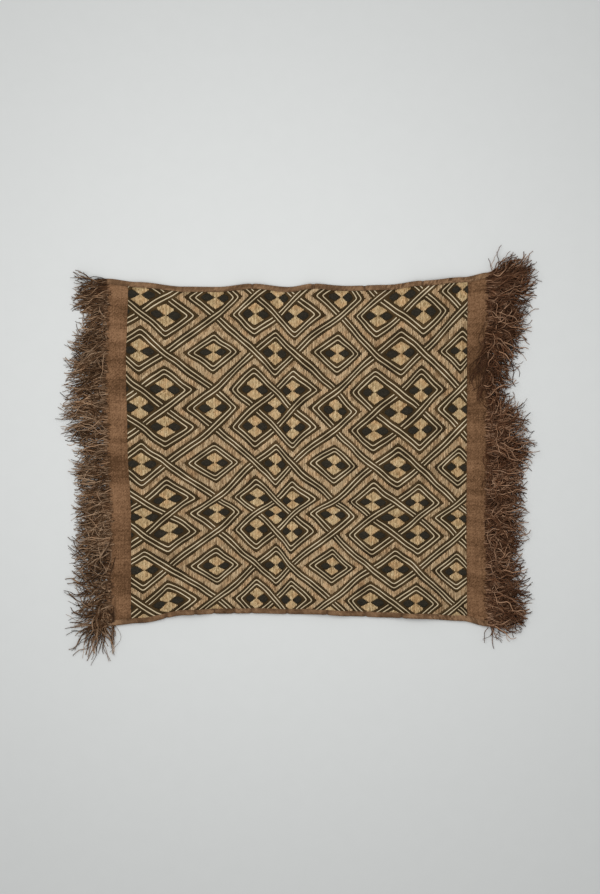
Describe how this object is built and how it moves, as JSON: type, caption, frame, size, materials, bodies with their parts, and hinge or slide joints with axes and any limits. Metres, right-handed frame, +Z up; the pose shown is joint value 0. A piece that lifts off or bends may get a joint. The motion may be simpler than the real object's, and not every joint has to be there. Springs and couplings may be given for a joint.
{
  "type": "kuba raffia cloth",
  "caption": "Embroidered cut-pile raffia cloth with an interlaced strap pattern, plain side bands, folded bindings and a thick raffia fringe, laid flat",
  "frame": {"origin": "on the floor, under the middle of the cloth with its fringe", "axes": "+X across the cloth from one fringe to the other, +Y towards its top edge, +Z up from the floor through the embroidered face"},
  "size_m": [0.6862, 0.589, 0.0151],
  "materials": {
    "embroidery": "hand-embroidered raffia, partly cut to a short pile, tan, cream and black-brown",
    "plain_weave": "plain-woven raffia, dyed brown",
    "binding": "folded plain-woven raffia, brown",
    "fringe": "kinked loose raffia strands, dark brown"
  },
  "bodies": {
    "root": {"panel": "embroidery", "band_left": "plain_weave", "band_right": "plain_weave", "binding_top": "binding", "binding_bottom": "binding", "fringe_left": "fringe", "fringe_right": "fringe"}
  },
  "joints": []
}
